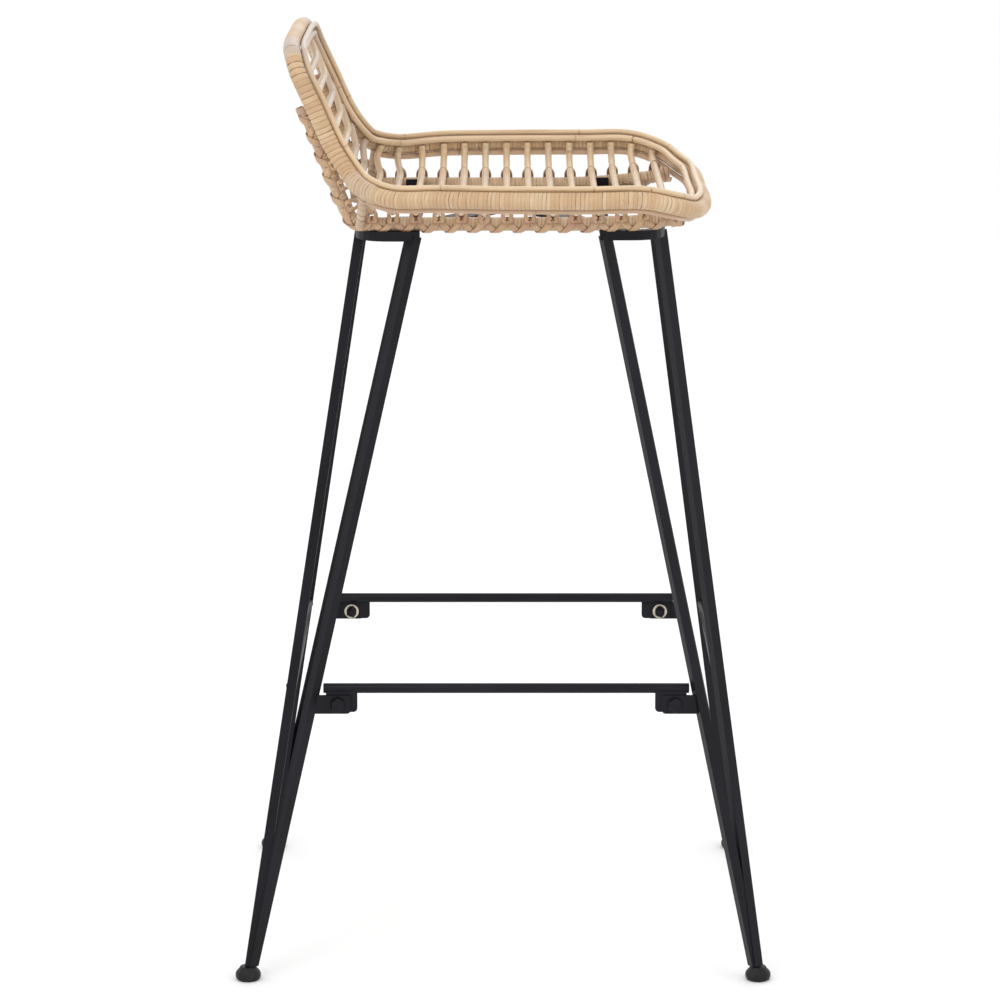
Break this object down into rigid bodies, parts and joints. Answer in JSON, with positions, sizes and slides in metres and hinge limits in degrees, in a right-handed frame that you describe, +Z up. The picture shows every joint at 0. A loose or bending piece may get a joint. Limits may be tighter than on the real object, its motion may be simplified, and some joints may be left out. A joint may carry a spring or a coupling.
{
  "type": "bar stool",
  "caption": "Bar stool with a low-backed cane tub seat of spaced bent ribs on hairpin legs of square black steel bar, braced by a bolted footrest.",
  "frame": {"origin": "on the floor, under the middle of the overall outline", "axes": "+X to the front of the stool, +Y to the sitter's left, +Z up"},
  "size_m": [0.5142, 0.4586, 0.893],
  "materials": {
    "black_steel": "matte black powder coat",
    "black_glide": "matte moulded",
    "zinc_plate": "bright zinc plate",
    "wrapped_cane": "glossy cane binding wound round a pole",
    "peeled_cane": "satin lacquered peeled cane"
  },
  "bodies": {
    "root": {"leg_front_right": "black_steel", "glide_front_right": "black_glide", "leg_front_left": "black_steel", "glide_front_left": "black_glide", "leg_rear_right": "black_steel", "glide_rear_right": "black_glide", "leg_rear_left": "black_steel", "glide_rear_left": "black_glide", "footrest_bar_right": "black_steel", "footrest_bar_left": "black_steel", "front_crossbar": "black_steel", "rear_crossbar": "black_steel", "footrest_bolt_front_right": "black_steel", "footrest_washer_front_right": "zinc_plate", "footrest_nut_front_right": "black_steel", "footrest_bolt_front_left": "black_steel", "footrest_washer_front_left": "zinc_plate", "footrest_nut_front_left": "black_steel", "footrest_bolt_rear_right": "black_steel", "footrest_washer_rear_right": "zinc_plate", "footrest_nut_rear_right": "black_steel", "footrest_bolt_rear_left": "black_steel", "footrest_washer_rear_left": "zinc_plate", "footrest_nut_rear_left": "black_steel", "seat_cross_strap": "black_steel", "seat_screw_front_right": "black_steel", "seat_screw_front_left": "black_steel", "seat_screw_rear_right": "black_steel", "seat_screw_rear_left": "black_steel", "rim_pole": "wrapped_cane", "rim_top_rod": "peeled_cane", "rim_inner_rod": "peeled_cane", "rim_lower_rod": "peeled_cane", "rib_01": "peeled_cane", "rib_02": "peeled_cane", "rib_03": "peeled_cane", "rib_04": "peeled_cane", "rib_05": "peeled_cane", "rib_06": "peeled_cane", "rib_07": "peeled_cane", "rib_08": "peeled_cane", "rib_09": "peeled_cane", "rib_10": "peeled_cane", "rib_11": "peeled_cane", "rib_12": "peeled_cane", "rib_13": "peeled_cane", "rib_14": "peeled_cane", "rib_15": "peeled_cane", "rib_16": "peeled_cane", "rib_17": "peeled_cane", "rib_18": "peeled_cane", "rib_19": "peeled_cane", "rib_20": "peeled_cane", "rib_21": "peeled_cane", "side_pole_right": "wrapped_cane", "side_pole_left": "wrapped_cane", "corner_post_right": "wrapped_cane", "corner_post_left": "wrapped_cane"}
  },
  "joints": []
}
